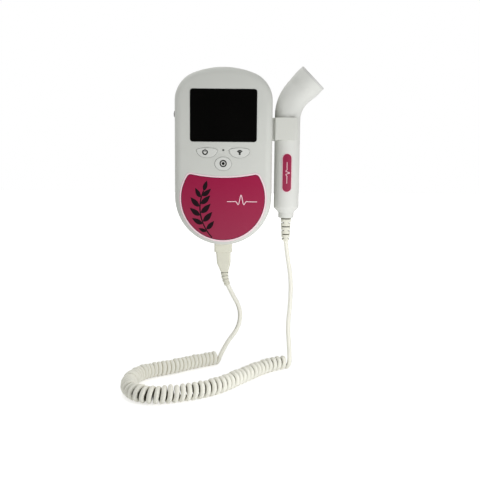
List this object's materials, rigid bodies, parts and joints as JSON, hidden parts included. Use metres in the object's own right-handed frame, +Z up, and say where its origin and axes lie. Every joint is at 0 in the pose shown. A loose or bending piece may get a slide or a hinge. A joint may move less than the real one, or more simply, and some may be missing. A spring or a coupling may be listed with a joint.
{
  "type": "fetal doppler monitor",
  "caption": "Handheld ultrasound heartbeat monitor with display, keys, volume wheel, a bent probe in a side clip and a curly lead.",
  "frame": {"origin": "centre of the monitor's flat back face", "axes": "+Y out of the back face, so the display faces -Y; +Z up, along the monitor's height; +X towards the probe in its side clip"},
  "size_m": [0.1441, 0.1107, 0.2306],
  "materials": {
    "case_white": "satin moulded ABS, faint green-white",
    "key_white": "satin moulded keycap",
    "window_black": "high gloss lens",
    "overlay_raspberry": "printed film with a pale border",
    "label_raspberry": "printed film",
    "silicone": "matt",
    "indicator": "clear rod",
    "board": "solder mask",
    "display": "glass-like panel in a frame",
    "dark_plastic": "fine texture",
    "wheel_grey": "knurled, matt",
    "metal": "bare",
    "cell": "wrapped can",
    "holder_white": "satin, slightly creamier than the case",
    "probe_white": "satin moulded ABS",
    "face_grey": "smooth cast face",
    "ceramic": "fired",
    "backing": "filled resin",
    "cord_cream": "soft cream jacket",
    "plug_cream": "soft moulded grip"
  },
  "bodies": {
    "case": {"front_shell": "case_white", "rear_shell": "case_white", "display_window": "window_black", "front_overlay": "overlay_raspberry", "keypad_membrane": "silicone", "led_light_pipe": "indicator", "main_board": "board", "board_screws": "metal", "lcd_module": "display", "speaker": "dark_plastic", "volume_pot": "dark_plastic", "headphone_jack": "dark_plastic", "probe_socket": "dark_plastic", "battery_cell_left": "cell", "battery_cell_right": "cell", "battery_contacts": "metal", "case_screws": "metal", "holder_screws": "metal", "probe_holder": "holder_white", "plug_body": "plug_cream", "plug_contacts": "metal", "plug_strain_relief": "plug_cream", "lead_probe_side": "cord_cream", "curly_section": "cord_cream", "lead_case_side": "cord_cream"},
    "power_button": {"power_button": "key_white"},
    "mode_button": {"mode_button": "key_white"},
    "record_button": {"record_button": "key_white"},
    "volume_wheel": {"volume_wheel": "wheel_grey"},
    "battery_door": {"battery_door": "case_white"},
    "probe": {"probe_front_shell": "probe_white", "probe_rear_shell": "probe_white", "transducer_face": "face_grey", "piezo_crystals": "ceramic", "crystal_backing": "backing", "probe_board": "board", "probe_label": "label_raspberry", "probe_collar": "probe_white", "probe_strain_relief": "cord_cream"}
  },
  "joints": [
    {"name": "power_press", "type": "slide", "parent": "case", "child": "power_button", "axis": [0, 1, 0], "range_m": [0, 0.0008], "stiffness_N_per_m": 900, "springref_m": -0.0006},
    {"name": "mode_press", "type": "slide", "parent": "case", "child": "mode_button", "axis": [0, 1, 0], "range_m": [0, 0.0008], "stiffness_N_per_m": 900, "springref_m": -0.0006},
    {"name": "record_press", "type": "slide", "parent": "case", "child": "record_button", "axis": [0, 1, 0], "range_m": [0, 0.0008], "stiffness_N_per_m": 900, "springref_m": -0.0006},
    {"name": "volume_turn", "type": "hinge", "parent": "case", "child": "volume_wheel", "pos_m": [-0.03175, -0.02495, 0.0318], "axis": [0, 1, 0], "range_deg": [-135, 135]},
    {"name": "battery_door_slide", "type": "slide", "parent": "case", "child": "battery_door", "axis": [0, 0, -1], "range_m": [0, 0.008]},
    {"name": "probe_pull", "type": "slide", "parent": "case", "child": "probe", "axis": [1, 0, 0], "range_m": [0, 0.035]}
  ]
}
